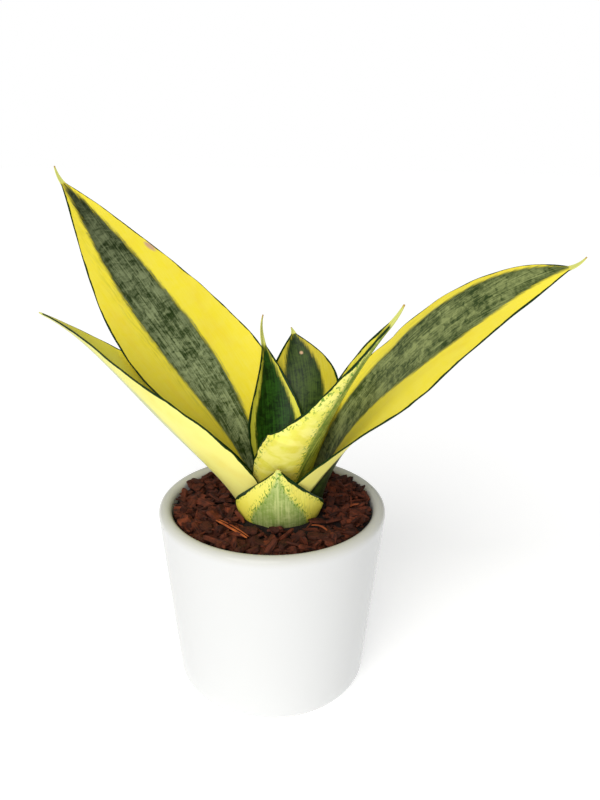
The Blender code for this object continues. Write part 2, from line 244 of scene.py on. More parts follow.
def colour_of(name, description, default):
    return FloatVectorProperty(
        name=name, description=description, default=linear(default), subtype="COLOR", size=3, min=0, max=1
    )


def size_of(name, description, default):
    shown_as = {"unit": "LENGTH", "subtype": "DISTANCE", "min": 0, "precision": 5}
    return FloatProperty(name=name, description=description, default=default, **shown_as)


class PotSettings(bpy.types.PropertyGroup):
    """Sizes and colours of the pot that aren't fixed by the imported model."""

    glaze: colour_of("Glaze", "White glaze on the body", "#DADBDB")
    # Partly thin glaze, partly painted shade on the lip's top
    thin_glaze_and_lip_shade: colour_of("Thin glaze and lip shade", "Glaze where it runs thin over the lip, darker with painted shade", "#CDCDC6")
    speck: colour_of("Specks", "Iron specks in the glaze of the lip", "#3A352C")
    biscuit: colour_of("Biscuit", "Bare fired clay of the foot", "#CDBFA8")
    speck_size: size_of("Speck size", "Radius of the largest iron speck", 0.0006)
    ripple: size_of("Ripple", "Spacing of the faint ripples that the glaze keeps", 0.018)


class BarkSettings(bpy.types.PropertyGroup):
    """Counts and colours of the bark mulch."""

    chunks: IntProperty(name="Chunks", description="Loose chunks beside the packed ones", default=520)
    splinters: IntProperty(name="Splinters", description="Thin splinters on top", default=210)
    crumbs: IntProperty(name="Crumbs", description="Small broken crumbs", default=320)
    heap: size_of("Heap", "How much higher the bark lies in front of the crown than at the wall", 0.0046)
    dark: colour_of("Dark bark", "Bark in its grooves, and the fines under the chips in painted shade", "#1C0D09")
    brown: colour_of("Brown bark", "Most of the bark", "#52281B")
    red: colour_of("Red bark", "Freshly split faces", "#8E4529")
    orange: colour_of("Inner bark", "Young inner bark of the pale slivers", "#C46C38")
    # Painted shade between the chips: the colour of the fines and of the parts of chips that lie low between
    # them
    damp_and_gap_shade: colour_of("Gap shade", "Painted shade down between the chunks", "#100806")
    soil: colour_of("Potting mix", "Peat and coir under the bark", "#2A1C14")


class LeafSettings(bpy.types.PropertyGroup):
    """Fineness and pattern sizes of the leaves."""

    blade_rows: IntProperty(name="Rows", description="Rows of points along each blade", default=240, min=40)
    columns: IntProperty(name="Columns", description="Points across each face", default=57, min=9)
    ripple: size_of("Ripple", "How far the margins wave", 0.0004)
    streak_width: size_of("Streak width", "Width of the fine lengthwise streaks", 0.0008)
    streak_length: size_of("Streak length", "Length of the fine lengthwise streaks", 0.012)
    mark_width: size_of("Mark width", "Size across the leaf of the cross marks", 0.0042)
    mark_length: size_of("Mark length", "Size along the leaf of the cross marks", 0.0030)
    margin_line: colour_of("Margin line", "Dark line along each margin", "#12300A")
    golden: colour_of("Golden", "Clouds on the flanks", "#E6BE20")
    creamy: colour_of("Cream", "Pale fibres and cross patches on the flanks", "#F6EE8E")
    olive: colour_of("Olive", "Fringe of broken fibres beside the band", "#7C8A30")
    speck: colour_of("Specks", "Fine green specks", "#5E8A2C")
    spine: colour_of("Spine", "Soft yellow-green of the spine past the blade", "#CFD272")
    scar: colour_of("Scar", "Corky tan of a healed scar", "#CDA684")
    tan: colour_of("Tip", "Dry tan of a spine's joint and point", "#B98A3E")


class StageSettings(bpy.types.PropertyGroup):
    """Light and floor."""

    ambient: FloatProperty(name="Ambient", description="Soft light from all round", default=0.36)
    key: FloatProperty(name="Key light", description="Strength of the broad key light", default=2.45)
    floor: colour_of("Floor", "Pale floor", "#F4F4F4")
    glow: FloatProperty(name="Glow", description="Brightness of the lit floor itself", default=0.40)
    lens: FloatProperty(name="Lens", description="Focal length", default=36.0, subtype="DISTANCE_CAMERA")


# Meshes


def new_mesh(name, points, faces):
    """A mesh from an array of points and a list of arrays of faces, each array of one corner count."""
    mesh = bpy.data.meshes.new(name)
    corners = np.concatenate([np.asarray(group).ravel() for group in faces]).astype(np.int32)
    counts = np.concatenate([np.full(len(group), np.asarray(group).shape[1]) for group in faces])
    mesh.vertices.add(len(points))
    mesh.vertices.foreach_set("co", np.asarray(points, np.float32).ravel())
    mesh.loops.add(len(corners))
    mesh.loops.foreach_set("vertex_index", corners)
    mesh.polygons.add(len(counts))
    mesh.polygons.foreach_set("loop_start", np.concatenate([[0], np.cumsum(counts)[:-1]]).astype(np.int32))
    mesh.update(calc_edges=True)
    mesh.validate()
    return mesh


def turned_out(points, quads):
    """The quads, reversed if together they enclose a negative volume, so that all faces point outwards."""
    a, b, c, d = (points[quads[:, i]] for i in range(4))
    volume = np.einsum("ij,ij->i", a, np.cross(b, c)).sum() + np.einsum("ij,ij->i", a, np.cross(c, d)).sum()
    return quads if volume > 0 else quads[:, ::-1]


def ring_quads(rows, ring, closed=False):
    """Quads between neighbouring rings of points. When closed, the last ring meets the first."""
    row = np.arange(rows if closed else rows - 1)[:, None]
    after = (row + 1) % rows
    here = np.arange(ring)[None, :]
    beside = (here + 1) % ring
    corners = [row * ring + here, row * ring + beside, after * ring + beside, after * ring + here]
    return np.stack(np.broadcast_arrays(*corners), axis=-1).reshape(-1, 4)


def tube_mesh(name, shapes):
    """One mesh of tubes of equal make, from an array by tube, row, place in the ring, and axis. A polygon
    closes each end."""
    count, rows, ring = shapes.shape[:3]
    quads = turned_out(shapes[0].reshape(-1, 3), ring_quads(rows, ring))
    first = np.arange(count)[:, None] * rows * ring
    start = first + np.arange(ring)
    end = start + (rows - 1) * ring
    caps = [start[:, ::-1], end] if quads[0, 0] == 0 else [start, end[:, ::-1]]
    return new_mesh(name, shapes.reshape(-1, 3), [(first[..., None] + quads).reshape(-1, 4), *caps])


ATTRIBUTES = {1: ("FLOAT", "value"), 3: ("FLOAT_VECTOR", "vector"), 4: ("FLOAT_COLOR", "color")}


def write(mesh, **attributes):
    """Stores attributes of the points: for each point a float, a vector of three or a colour of four."""
    for name, values in attributes.items():
        values = np.asarray(values, np.float32)
        kind, field = ATTRIBUTES[values.size // len(mesh.vertices)]
        mesh.attributes.new(name, kind, "POINT").data.foreach_set(field, values.ravel())


def shown(name, mesh, material, stands_for=(), smooth=True, crease=None):
    """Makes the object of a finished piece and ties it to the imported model."""
    piece = bpy.data.objects.new(name, mesh)
    bpy.context.scene.collection.objects.link(piece)
    mesh.materials.append(material)
    mesh.polygons.foreach_set("use_smooth", np.full(len(mesh.polygons), smooth))
    if crease is not None:
        mesh.set_sharp_from_angle(angle=math.radians(crease))
    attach(piece, "root")
    if stands_for:
        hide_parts(*stands_for)
    return piece


def waver(place, seed, waves=5):
    """A smooth wandering value near -1 to 1: a few sines of rising pitch, with seeded phases."""
    dice = np.random.default_rng(seed)
    pitch = np.arange(1, waves + 1) * dice.uniform(0.8, 1.2, waves)
    phase = dice.uniform(0, math.tau, waves)
    weight = 1 / np.arange(1, waves + 1)
    total = (np.sin(np.asarray(place)[..., None] * pitch + phase) * weight).sum(axis=-1)
    return total / weight.sum() * 1.6


# Materials


def feed(node, inputs):
    """Fills a node's inputs, given by place or by name. Each is a value, a socket, or a node, which feeds it
    from its first output in use."""
    links = node.id_data.links
    for key, value in inputs.items() if isinstance(inputs, dict) else enumerate(inputs):
        if isinstance(value, bpy.types.Node):
            value = next(socket for socket in value.outputs if socket.enabled)
        if isinstance(value, bpy.types.NodeSocket):
            links.new(value, node.inputs[key])
        else:
            node.inputs[key].default_value = value


def add(tree, kind, inputs=(), **settings):
    """Adds one node with its own settings and its inputs."""
    node = tree.nodes.new("ShaderNode" + kind)
    for name, value in settings.items():
        setattr(node, name, value)
    feed(node, inputs)
    return node


def new_material(name, **sockets):
    """A Principled material, its uniform values set on the shader's own sockets."""
    material = bpy.data.materials.new(name)
    material.use_nodes = True
    shader = material.node_tree.nodes["Principled BSDF"]
    feed(shader, {key.replace("_", " "): value for key, value in sockets.items()})
    return material, partial(add, material.node_tree), shader


def rgba(colour):
    return (*colour, 1.0)


SMOOTH = {"interpolation_type": "SMOOTHSTEP"}
COLOURS = {"data_type": "RGBA"}


BLADE_COLOURS = ("flank", "dark", "light")
BLADE_VALUES = (
    "margin", "band", "stripes", "cream", "fringe", "specks", "keel", "scar", "spine", "dry", "rim_line"
)


def blade_material(settings):
    """Living leaf with a waxy skin: lemon flanks, a mottled green band, and a dark line along each margin.

    The skin gives a soft sheen. Lengthwise streaks follow the fibres, and short cross marks break the band
    into the pale and dark cross bands of a snake plant.
    """
    skin = {"Metallic": 0.0, "IOR": 1.4, "Specular_IOR_Level": 0.2}
    material, node, shader = new_material("waxy_snake_plant_blade", **skin)
    grain = node("Attribute", attribute_name="grain").outputs["Vector"]
    value = {name: node("Attribute", attribute_name=name).outputs["Fac"] for name in BLADE_VALUES}
    tint = {name: node("Attribute", attribute_name=name).outputs["Color"] for name in BLADE_COLOURS}

    # Noises: their size across and along the leaf in metres, detail, roughness, distortion and shift
    noise = {}
    for name, across, along, detail, rough, distortion, shift in (
        ("streak", settings.streak_width, settings.streak_length, 3, 0.55, 0, 0),
        ("line", 0.0009, 0.09, 2, 0.55, 0, 4),
        ("mark", settings.mark_width, settings.mark_length, 4, 0.62, 0.9, 8),
        ("patch", 0.012, 0.016, 2, 0.55, 0, 2),
        ("cloud", 0.010, 0.030, 2, 0.55, 0, 5),
        ("cross", 0.008, 0.0052, 3, 0.5, 0.6, 14),
        ("fringe", 0.0011, 0.010, 3, 0.55, 0, 17),
        ("dots", 0.0011, 0.0020, 2, 0.6, 0, 21),
        ("swell", 0.02, 0.012, 3, 0.55, 0, 11),
    ):
        scale = (1 / across, 1 / along, 1)
        scaled = node("Mapping", {"Vector": grain, "Scale": scale, "Location": (shift, shift, shift)})
        fineness = {"Scale": 1, "Detail": detail, "Roughness": rough, "Distortion": distortion}
        noise[name] = node("TexNoise", {"Vector": scaled, **fineness})

    # Shares that go smoothly from 0 at the first figure to 1 at the second
    across = node("SeparateXYZ", (grain,)).outputs["X"]
    share = {}
    for name, source, low, high in (
        ("inside", value["band"], -0.001, 0.006),
        ("ridge", node("Math", (across,), operation="ABSOLUTE"), 0.0008, 0.0002),
        ("cloud", noise["cloud"], 0.45, 0.75),
        ("fibre", noise["streak"], 0.30, 0.75),
        ("cross", noise["cross"], 0.36, 0.66),
        ("fringe", noise["fringe"], 0.40, 0.62),
        ("by_margin", value["margin"], 0.005, 0.001),
        ("by_band", node("Math", (value["band"],), operation="ABSOLUTE"), 0.004, 0.0005),
        ("dots", noise["dots"], 0.52, 0.62),
        ("swell", noise["swell"], 0.30, 0.65),
    ):
        share[name] = node("MapRange", (source, low, high), **SMOOTH)

    # The band's tone: streaks and cross marks, with parallel lines over them where the leaf has them.
    mottle = node("Math", (noise["streak"], 0.46), operation="MULTIPLY")
    mottle = node("Math", (noise["mark"], 0.60, mottle), operation="MULTIPLY_ADD")
    uneven = node("Math", (noise["patch"], 0.5), operation="SUBTRACT")
    mottle = node("Math", (uneven, 0.45, mottle), operation="MULTIPLY_ADD")
    lined = node("Math", (noise["line"], 0.5), operation="SUBTRACT")
    strength = node("Math", (value["stripes"], 1.1), operation="MULTIPLY")
    mottle = node("Math", (lined, strength, mottle), operation="MULTIPLY_ADD")
    inside = node("Math", (share["inside"], 0.5, 0.5), operation="MULTIPLY_ADD")
    tone = node("Math", (node("MapRange", (mottle, 0.36, 0.72), **SMOOTH), inside), operation="MULTIPLY")
    band = node("Mix", {0: tone, 6: tint["dark"], 7: tint["light"]}, **COLOURS)
    ridge = node("Math", (share["ridge"], value["keel"]), operation="MULTIPLY")
    band = node("Mix", {0: ridge, 6: band, 7: tint["light"]}, **COLOURS)

    # The flanks are bright, with broad golden clouds, paler fibres, and creamy cross patches where the leaf
    # has them. Beside the band lies an olive fringe of broken fibres.
    flank = tint["flank"]
    for part, strength, colour in (
        ("cloud", 0.22, settings.golden),
        ("fibre", 0.12, settings.creamy),
        ("cross", value["cream"], settings.creamy),
        ("fringe", value["fringe"], settings.olive),
    ):
        shown_part = node("Math", (share[part], strength), operation="MULTIPLY")
        flank = node("Mix", {0: shown_part, 6: flank, 7: rgba(colour)}, **COLOURS)

    # The band's edge frays along the fibres.
    edge = value["band"]
    for name, depth in (("streak", 0.0042), ("mark", 0.0016)):
        centred = node("Math", (noise[name], 0.5), operation="SUBTRACT")
        edge = node("Math", (centred, depth, edge), operation="MULTIPLY_ADD")
    on_band = node("MapRange", (edge, -0.0013, 0.0013), **SMOOTH)
    colour = node("Mix", {0: on_band, 6: flank, 7: band}, **COLOURS)

    # Fine green specks gather near the margins and round the band's edge.
    close = node("Math", (share["by_margin"], share["by_band"]), operation="MAXIMUM")
    dots = node("Math", (share["dots"], close), operation="MULTIPLY")
    dots = node("Math", (dots, value["specks"]), operation="MULTIPLY")

    # The margin's dark line swells and thins along the leaf.
    swell = node("Math", (share["swell"], 0.7, 0.4), operation="MULTIPLY_ADD")
    width = node("Math", (swell, value["rim_line"]), operation="MULTIPLY")
    within = node("Math", (width, value["margin"]), operation="SUBTRACT")
    for covered, over in (
        (dots, settings.speck),
        (node("MapRange", (within, -0.00008, 0.00012), **SMOOTH), settings.margin_line),
        (value["spine"], settings.spine),
        (value["dry"], settings.tan),
        (value["scar"], settings.scar),
    ):
        colour = node("Mix", {0: covered, 6: colour, 7: rgba(over)}, **COLOURS)

    rough = node("Math", (noise["streak"], 0.16, 0.34), operation="MULTIPLY_ADD")
    rough = node("Math", (value["dry"], 0.3, rough), operation="MULTIPLY_ADD")
    height = node("Math", (noise["streak"], 0.6), operation="MULTIPLY")
    height = node("Math", (noise["mark"], 0.4, height), operation="MULTIPLY_ADD")
    bump = node("Bump", {"Strength": 0.35, "Distance": 0.00018, "Height": height})
    feed(shader, {"Base Color": colour, "Roughness": rough, "Normal": bump})
    return material


SPECK_SPACING = 0.006
# Heights over which the bare foot, the specks and the thin glaze over the lip begin. The glaze over the lip
# is darker partly because it runs thin and partly as painted shade on the lip's top
BISCUIT_EDGE = (0.0004, 0.0009)
SPECK_EDGE = (POT_HEIGHT - 0.012, POT_HEIGHT - 0.009)
THIN_AND_SHADED_EDGE = (POT_HEIGHT - 0.006, POT_HEIGHT)
FIBRE_WIDTH = 0.0008
FIBRE_LENGTH = 0.005
DAMP_PATCH = 0.004
FINES_GRIT = 0.0016
MIX_GRIT = 0.0013
RHIZOME_GRIT = 0.004


def glaze_material(settings):
    """White tin glaze on stoneware, dipped and fired: a hard gloss, thinner and warmer over the lip, where it
    is also darker as painted shade on the lip's top, with a few iron specks there, faint ripples on the wall,
    and a bare biscuit foot."""
    gloss = {"Metallic": 0.0, "IOR": 1.5, "Specular_IOR_Level": 0.22}
    material, node, shader = new_material("dipped_white_glaze", **gloss)
    place = node("TexCoord").outputs["Object"]
    height = node("SeparateXYZ", (place,)).outputs["Z"]
    # Shares that go smoothly from 0 at the first height to 1 at the second
    glazed, near_lip, over_lip = (
        node("MapRange", (height, *edge), **SMOOTH) for edge in (BISCUIT_EDGE, SPECK_EDGE, THIN_AND_SHADED_EDGE)
    )
    cells = node("TexVoronoi", {"Vector": place, "Scale": 1 / SPECK_SPACING, "Randomness": 1.0})
    chance = node("SeparateColor", (cells.outputs["Color"],))
    largest = settings.speck_size / SPECK_SPACING
    size = node("MapRange", {"Value": chance, "From Min": 0.80, "From Max": 1.0, "To Max": largest})
    speck = node("Math", (size, cells.outputs["Distance"]), operation="GREATER_THAN")
    speck = node("Math", (speck, near_lip), operation="MULTIPLY")
    # The lip's top turns darker and warmer: thinner glaze, and painted shade
    body = node("Mix", {0: over_lip, 6: rgba(settings.glaze), 7: rgba(settings.thin_glaze_and_lip_shade)}, **COLOURS)
    body = node("Mix", {0: speck, 6: body, 7: rgba(settings.speck)}, **COLOURS)
    colour = node("Mix", {0: glazed, 6: rgba(settings.biscuit), 7: body}, **COLOURS)
    rough = node("MapRange", {"Value": glazed, "To Min": 0.85, "To Max": 0.16})
    ripple = node("TexNoise", {"Vector": place, "Scale": 1 / settings.ripple, "Detail": 2.0})
    bump = node("Bump", {"Strength": 0.25, "Distance": 0.0006, "Height": ripple})
    feed(shader, {"Base Color": colour, "Roughness": rough, "Normal": bump})
    return material


def bark_material(settings):
    """Shredded conifer bark, split along its fibres: red-brown faces, near black in its grooves, dry and
    dull. Parts that lie low between the chips turn near black as painted shade."""
    surface = {"Metallic": 0.0, "IOR": 1.45, "Specular_IOR_Level": 0.25}
    material, node, shader = new_material("split_conifer_bark", **surface)
    grain = node("Attribute", attribute_name="grain").outputs["Vector"]
    tone, sunk = (node("Attribute", attribute_name=name).outputs["Fac"] for name in ("tone", "sunk"))
    fibres = node("Mapping", {"Vector": grain, "Scale": (1 / FIBRE_WIDTH, 1 / FIBRE_LENGTH, 1.0)})
    groove = node("TexNoise", {"Vector": fibres, "Scale": 1.0, "Detail": 4.0, "Roughness": 0.65})
    place = node("TexCoord").outputs["Object"]
    damp_and_gap_shade = node("TexNoise", {"Vector": place, "Scale": 1 / DAMP_PATCH, "Detail": 3.0})
    shade = node("Math", (groove, 0.55, -0.12), operation="MULTIPLY_ADD")
    shade = node("Math", (damp_and_gap_shade, 0.55, shade), operation="MULTIPLY_ADD")
    shade = node("MapRange", {"Value": shade, "From Min": 0.28, "From Max": 0.62})
    pale = node("MapRange", {"Value": tone, "From Min": 1.0, "From Max": 2.0})
    split = node("Mix", {0: tone, 6: rgba(settings.brown), 7: rgba(settings.red)}, **COLOURS)
    split = node("Mix", {0: pale, 6: split, 7: rgba(settings.orange)}, **COLOURS)
    deep = node("Mix", {0: pale, 6: rgba(settings.dark), 7: rgba(settings.red)}, **COLOURS)
    colour = node("Mix", {0: shade, 6: deep, 7: split}, **COLOURS)
    # Painted shade: parts that lie low between the chips go near black
    colour = node("Mix", {0: sunk, 6: colour, 7: rgba(settings.damp_and_gap_shade)}, **COLOURS)
    dull = node("MapRange", {"Value": groove, "To Min": 0.62, "To Max": 0.9})
    bump = node("Bump", {"Strength": 0.7, "Distance": 0.0004, "Height": groove})
    feed(shader, {"Base Color": colour, "Roughness": dull, "Normal": bump})
    return material


def crumbly_material(name, light, dark, grit):
    """Loose crumbs of a given grit in metres: each crumb is a cell with its own shade and a rounded top."""
    material, node, shader = new_material(name, Metallic=0.0, Roughness=0.92, IOR=1.45)
    place = node("TexCoord").outputs["Object"]
    crumbs = node("TexVoronoi", {"Vector": place, "Scale": 1 / grit, "Randomness": 1.0})
    chance = node("SeparateColor", (crumbs.outputs["Color"],))
    colour = node("Mix", {0: chance, 6: rgba(dark), 7: rgba(light)}, **COLOURS)
    top = node("Math", (1.0, crumbs.outputs["Distance"]), operation="SUBTRACT")
    bump = node("Bump", {"Strength": 0.9, "Distance": grit * 0.5, "Height": top})
    feed(shader, {"Base Color": colour, "Normal": bump})
    return material


# Pot


TAPER = math.atan2(RIM_RADIUS - BASE_RADIUS, POT_HEIGHT)


def wall_radius(height, inset=0.0):
    """Radius of the pot's straight outer side at a height, or of a surface inset from it."""
    return RIM_RADIUS - (POT_HEIGHT - height) * math.tan(TAPER) - inset


def arc(centre_x, centre_z, radius, start, end, pieces):
    """Points along an arc in the XZ plane, its angles counted from +X towards +Z."""
    angle = np.linspace(start, end, pieces + 1)
    return np.stack([centre_x + radius * np.cos(angle), centre_z + radius * np.sin(angle)], axis=1)


def filleted_corner(bottom, inset, radius, pieces):
    """The rounded corner between a tapered side and a flat bottom, from the side down to the bottom."""
    centre_x = wall_radius(bottom + radius * (1 - math.sin(TAPER)), inset) - radius * math.cos(TAPER)
    return arc(centre_x, bottom + radius, radius, -TAPER, -math.pi / 2, pieces)


def between(first, second, pieces):
    """Points between two, without the two themselves."""
    share = np.linspace(0, 1, pieces + 1)[1:-1, None]
    return np.asarray(first) * (1 - share) + np.asarray(second) * share


def lathed(name, profile, steps):
    """A profile turned round Z: x = r cos a, y = r sin a. Its first and last points lie on the axis, where
    triangles meet in one point."""
    angle = np.arange(steps) / steps * math.tau
    ring = profile[1:-1]
    sides = [ring[:, :1] * np.cos(angle), ring[:, :1] * np.sin(angle), np.repeat(ring[:, 1:], steps, axis=1)]
    points = np.stack(sides, axis=-1).reshape(-1, 3)
    quads = turned_out(points, ring_quads(len(ring), steps))
    here = np.arange(steps)
    beside = (here + 1) % steps
    last = len(points) - steps
    hubs = len(points) + np.repeat([[0], [1]], steps, axis=1)
    points = np.vstack([points, [0, 0, profile[0, 1]], [0, 0, profile[-1, 1]]])
    fans = [np.stack([hubs[0], here, beside], 1), np.stack([hubs[1], last + beside, last + here], 1)]
    return new_mesh(name, points, [quads, *fans])


def drilled(mesh, places, radius, depth):
    """The mesh with round holes cut down through it by Boolean modifiers, kept as a new mesh."""
    link = bpy.context.scene.collection.objects.link
    body = bpy.data.objects.new(mesh.name, mesh)
    link(body)
    drill = np.array([[0, -depth], [radius, -depth], [radius, depth], [0, depth]], float)
    drills = []
    for place in places:
        tool = bpy.data.objects.new("drill", lathed("drill", drill, DRILL_STEPS))
        tool.location = (*place, 0)
        link(tool)
        hole = body.modifiers.new("hole", "BOOLEAN")
        hole.operation, hole.object = "DIFFERENCE", tool
        drills.append(tool)
    graph = bpy.context.evaluated_depsgraph_get()
    made = bpy.data.meshes.new_from_object(body.evaluated_get(graph))
    made.name = mesh.name + "_drilled"
    for used in (body, *drills):
        bpy.data.objects.remove(used)
    return made


POT_STEPS = 192
DRILL_STEPS = 48
SIDE_PIECES = 24
LIP_PIECES = 24
FOOT_PIECES = 12
FILLET_PIECES = 10
BASE_PIECES = 6


def build_pot(settings):
    """A tapered vessel with one flowing wall, a full round lip, a rounded foot and drain holes."""
    lip_radius = WALL / 2
    lip_height = POT_HEIGHT - lip_radius
    inner = filleted_corner(FLOOR, WALL, FLOOR_FILLET, FILLET_PIECES)[::-1]
    middle = wall_radius(lip_height, lip_radius)
    lip = arc(middle, lip_height, lip_radius, math.pi - TAPER, -TAPER, LIP_PIECES)
    foot = filleted_corner(0.0, 0.0, FOOT_ROUNDING, FOOT_PIECES)
    stretches = [
        [(0.0, FLOOR)],
        between((0, FLOOR), inner[0], BASE_PIECES),
        inner,
        between(inner[-1], lip[0], SIDE_PIECES),
        lip,
        between(lip[-1], foot[0], SIDE_PIECES),
        foot,
        between(foot[-1], (0, 0), BASE_PIECES),
        [(0.0, 0.0)],
    ]
    angle = math.tau * (np.arange(DRAIN_HOLES) + 0.5) / DRAIN_HOLES
    places = np.stack([np.cos(angle), np.sin(angle)], axis=1) * DRAIN_CIRCLE_RADIUS
    solid = lathed("pot_body", np.vstack(stretches), POT_STEPS)
    mesh = drilled(solid, places, DRAIN_HOLE_RADIUS, 2 * FLOOR)
    return shown("glazed_pot", mesh, glaze_material(settings), ["pot"], crease=40)


# Bark


BED_LIFT = 0.0036
WALL_LIFT = 0.0014
HEAP_REACH = 0.029
HEAP_FALL = 0.0085
BED_ROUGHNESS = 0.0009


def bed_height(x, y, heap):
    """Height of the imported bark: it rises a little towards the wall, most at the right and the back, and is
    heaped in front of the crown on a bell curve."""
    distance = np.hypot(x - CROWN[0], y - CROWN[1])
    frontward = 0.5 - 0.5 * (y - CROWN[1]) / np.maximum(distance, 0.001)
    rim = wall_radius(BED_TOP, WALL)
    outward = np.hypot(x, y) / rim
    level = BED_TOP + BED_LIFT + WALL_LIFT * outward**3 * (1 + (0.6 * x + 0.5 * y) / rim)
    mound = heap * frontward**1.5 * np.exp(-((np.maximum(distance - HEAP_REACH, 0) / HEAP_FALL) ** 2))
    rough = BED_ROUGHNESS * waver(x / 0.0021 + y / 0.0037, 3) * waver(y / 0.0019 - x / 0.0043, 4)
    return level + mound + rough


BED_STEPS = 240
BED_RINGS = 56
BED_HOLE = 0.004


def build_bed(settings):
    """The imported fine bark: a ring whose section runs inwards over the top, down by the crown, out along its
    floor and up by the wall. Its top follows bed_height."""
    angle = np.arange(BED_STEPS)[:, None] / BED_STEPS * math.tau
    turn = np.stack([np.cos(angle), np.sin(angle)], axis=-1)
    share = np.linspace(1, 0, BED_RINGS)[None, :, None]
    by_crown = CROWN + BED_HOLE * turn
    top = by_crown + (wall_radius(BED_TOP, WALL + GAP) * turn - by_crown) * share
    flat = np.concatenate([top, by_crown, wall_radius(BED_FLOOR, WALL + GAP) * turn], axis=1)
    height = bed_height(top[..., 0], top[..., 1], settings.heap)
    height = np.concatenate([height, np.full((BED_STEPS, 2), BED_FLOOR)], axis=1)
    points = np.concatenate([flat, height[..., None]], axis=-1).reshape(-1, 3)
    quads = turned_out(points, ring_quads(BED_STEPS, BED_RINGS + 2, closed=True))
    # Painted shade: the fines under the chips are coloured near black, for the shade in the gaps between them
    material = crumbly_material("bark_fines", settings.dark, settings.damp_and_gap_shade, FINES_GRIT)
    mesh = new_mesh("bark_fines", points, [quads])
    return shown("bark_fines", mesh, material, ["bark_bed"], crease=50)


# Slivers of inner bark: start, middle and end over the bed, width, arch, and tone
SLIVERS = (
    ((-0.0282, -0.0190), (-0.0202, -0.0285), (-0.0110, -0.0370), 0.0016, 0.0010, 2.0),
    ((-0.0272, -0.0182), (-0.0186, -0.0283), (-0.0102, -0.0358), 0.0009, 0.0016, 1.8),
    ((0.0200, -0.0265), (0.0258, -0.0285), (0.0302, -0.0340), 0.0013, 0.0012, 1.5),
    ((0.0405, -0.0030), (0.0435, -0.0024), (0.0468, -0.0022), 0.0018, 0.0008, 1.8),
)
CHIP_SIDES = 7
BARK_SEED = 29
PACKED_SWELL = (1.04, 1.1, 1.1)
WALL_CLEARANCE = 0.0002
CHIP_REST = 0.3
# How near a leaf a chip's middle and its ends may come, as shares of the chip's reach
MIDDLE_CLEARANCE = 0.30
END_CLEARANCE = 0.16
# Painted shade in the gaps between chips: it begins at this height over the bed, and is full this far below it
SUNK_FROM = 0.0017
SUNK_OVER = 0.0030


CHIP_PLACES = np.array([-1.0, -0.88, -0.35, 0.3, 0.86, 1.0])[None, :, None]
CHIP_PINCH = np.array([0.62, 0.92, 1.0, 1.0, 0.9, 0.55])[None, :, None]


def chip_shapes(sizes, dice):
    """Split chunks, one for each row of sizes: length, width and height.

    Each is one uneven polygon swept along the grain. The polygon lies between an ellipse and a rectangle, its
    corners pulled in unevenly, and the sweep bends, tapers and ends in slanted breaks.
    """
    count, along = len(sizes), CHIP_PLACES
    each, row, ring = (count, 1, 1), (count, along.size, 1), (count, 1, CHIP_SIDES)
    full = (count, along.size, CHIP_SIDES)
    angle = (np.arange(CHIP_SIDES) + dice.uniform(-0.28, 0.28, ring)) / CHIP_SIDES * math.tau
    boxy = 1 / np.maximum(np.abs(np.cos(angle)), np.abs(np.sin(angle))) ** 0.7
    uneven = boxy * dice.uniform(0.62, 1.08, ring) * dice.uniform(0.90, 1.10, full)
    pinch = CHIP_PINCH * dice.uniform(0.8, 1.12, row)
    reach = uneven * pinch * (1 + dice.uniform(-0.25, 0.25, each) * along)
    length, width, height = (sizes[:, i, None, None] / 2 for i in range(3))
    y = reach * np.cos(angle) * width
    z = reach * np.sin(angle) * height
    slant = dice.uniform(-0.9, 0.9, each) * along**3
    x = along * length * dice.uniform(0.94, 1.04, full) + slant * y * 0.6
    z = z + dice.uniform(-0.07, 0.07, each) * length * along**2
    y = y + dice.uniform(-0.07, 0.07, each) * length * along**2
    around = np.arange(CHIP_SIDES) / CHIP_SIDES * (width + height) * 3.1 + 0 * x
    seed = np.arange(count)[:, None, None] * 1.7 + 0 * x
    return np.stack([x, y, z], axis=-1), np.stack([around, x, seed], axis=-1)


def turned_by(yaw, pitch, roll):
    """Rotation matrices, one a chip: roll about its grain, then pitch, then yaw about the upright."""
    cy, sy, cp, sp, cr, sr = (f(a) for a in (yaw, pitch, roll) for f in (np.cos, np.sin))
    first = [cy * cp, cy * sp * sr - sy * cr, cy * sp * cr + sy * sr]
    second = [sy * cp, sy * sp * sr + cy * cr, sy * sp * cr - cy * sr]
    third = [-sp, cp * sr, cp * cr]
    return np.stack([np.stack(row, -1) for row in (first, second, third)], axis=1)


def chips_mesh(name, shapes, grains, tones, heap):
    """One mesh of many chips. The deeper a point lies under bed_height, the more painted shade it gets."""
    depth = bed_height(shapes[..., 0], shapes[..., 1], heap) + SUNK_FROM - shapes[..., 2]
    mesh = tube_mesh(name, shapes)
    tones = np.broadcast_to(tones[:, None, None], depth.shape)
    write(mesh, grain=grains, tone=tones, sunk=np.clip(depth / SUNK_OVER, 0, 1))
    return mesh


def leaf_trees():
    """A search tree of each packed leaf's faces, to keep the bark clear of them."""
    found = []
    for leaf in LEAVES:
        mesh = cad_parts[leaf.name].data
        corners = [tuple(p.vertices) for p in mesh.polygons]
        found.append(BVHTree.FromPolygons([v.co.copy() for v in mesh.vertices], corners))
    return found


def clear_of_leaves(places, shapes, trees):
    """True for each chip whose ends and middle stay off every leaf, judged by the nearest leaf face."""
    reach = np.linalg.norm(shapes - places[:, None, None], axis=-1).max(axis=(1, 2))
    ends = shapes[:, (0, -1)].mean(axis=2)
    kept = []
    for place, pair, far in zip(places, ends, reach):
        near = min((t.find_nearest(Vector(place), far)[3] or far) for t in trees)
        tips = min((t.find_nearest(Vector(tip), far)[3] or far) for t in trees for tip in pair)
        kept.append(near > far * MIDDLE_CLEARANCE and tips > far * END_CLEARANCE)
    return np.array(kept)


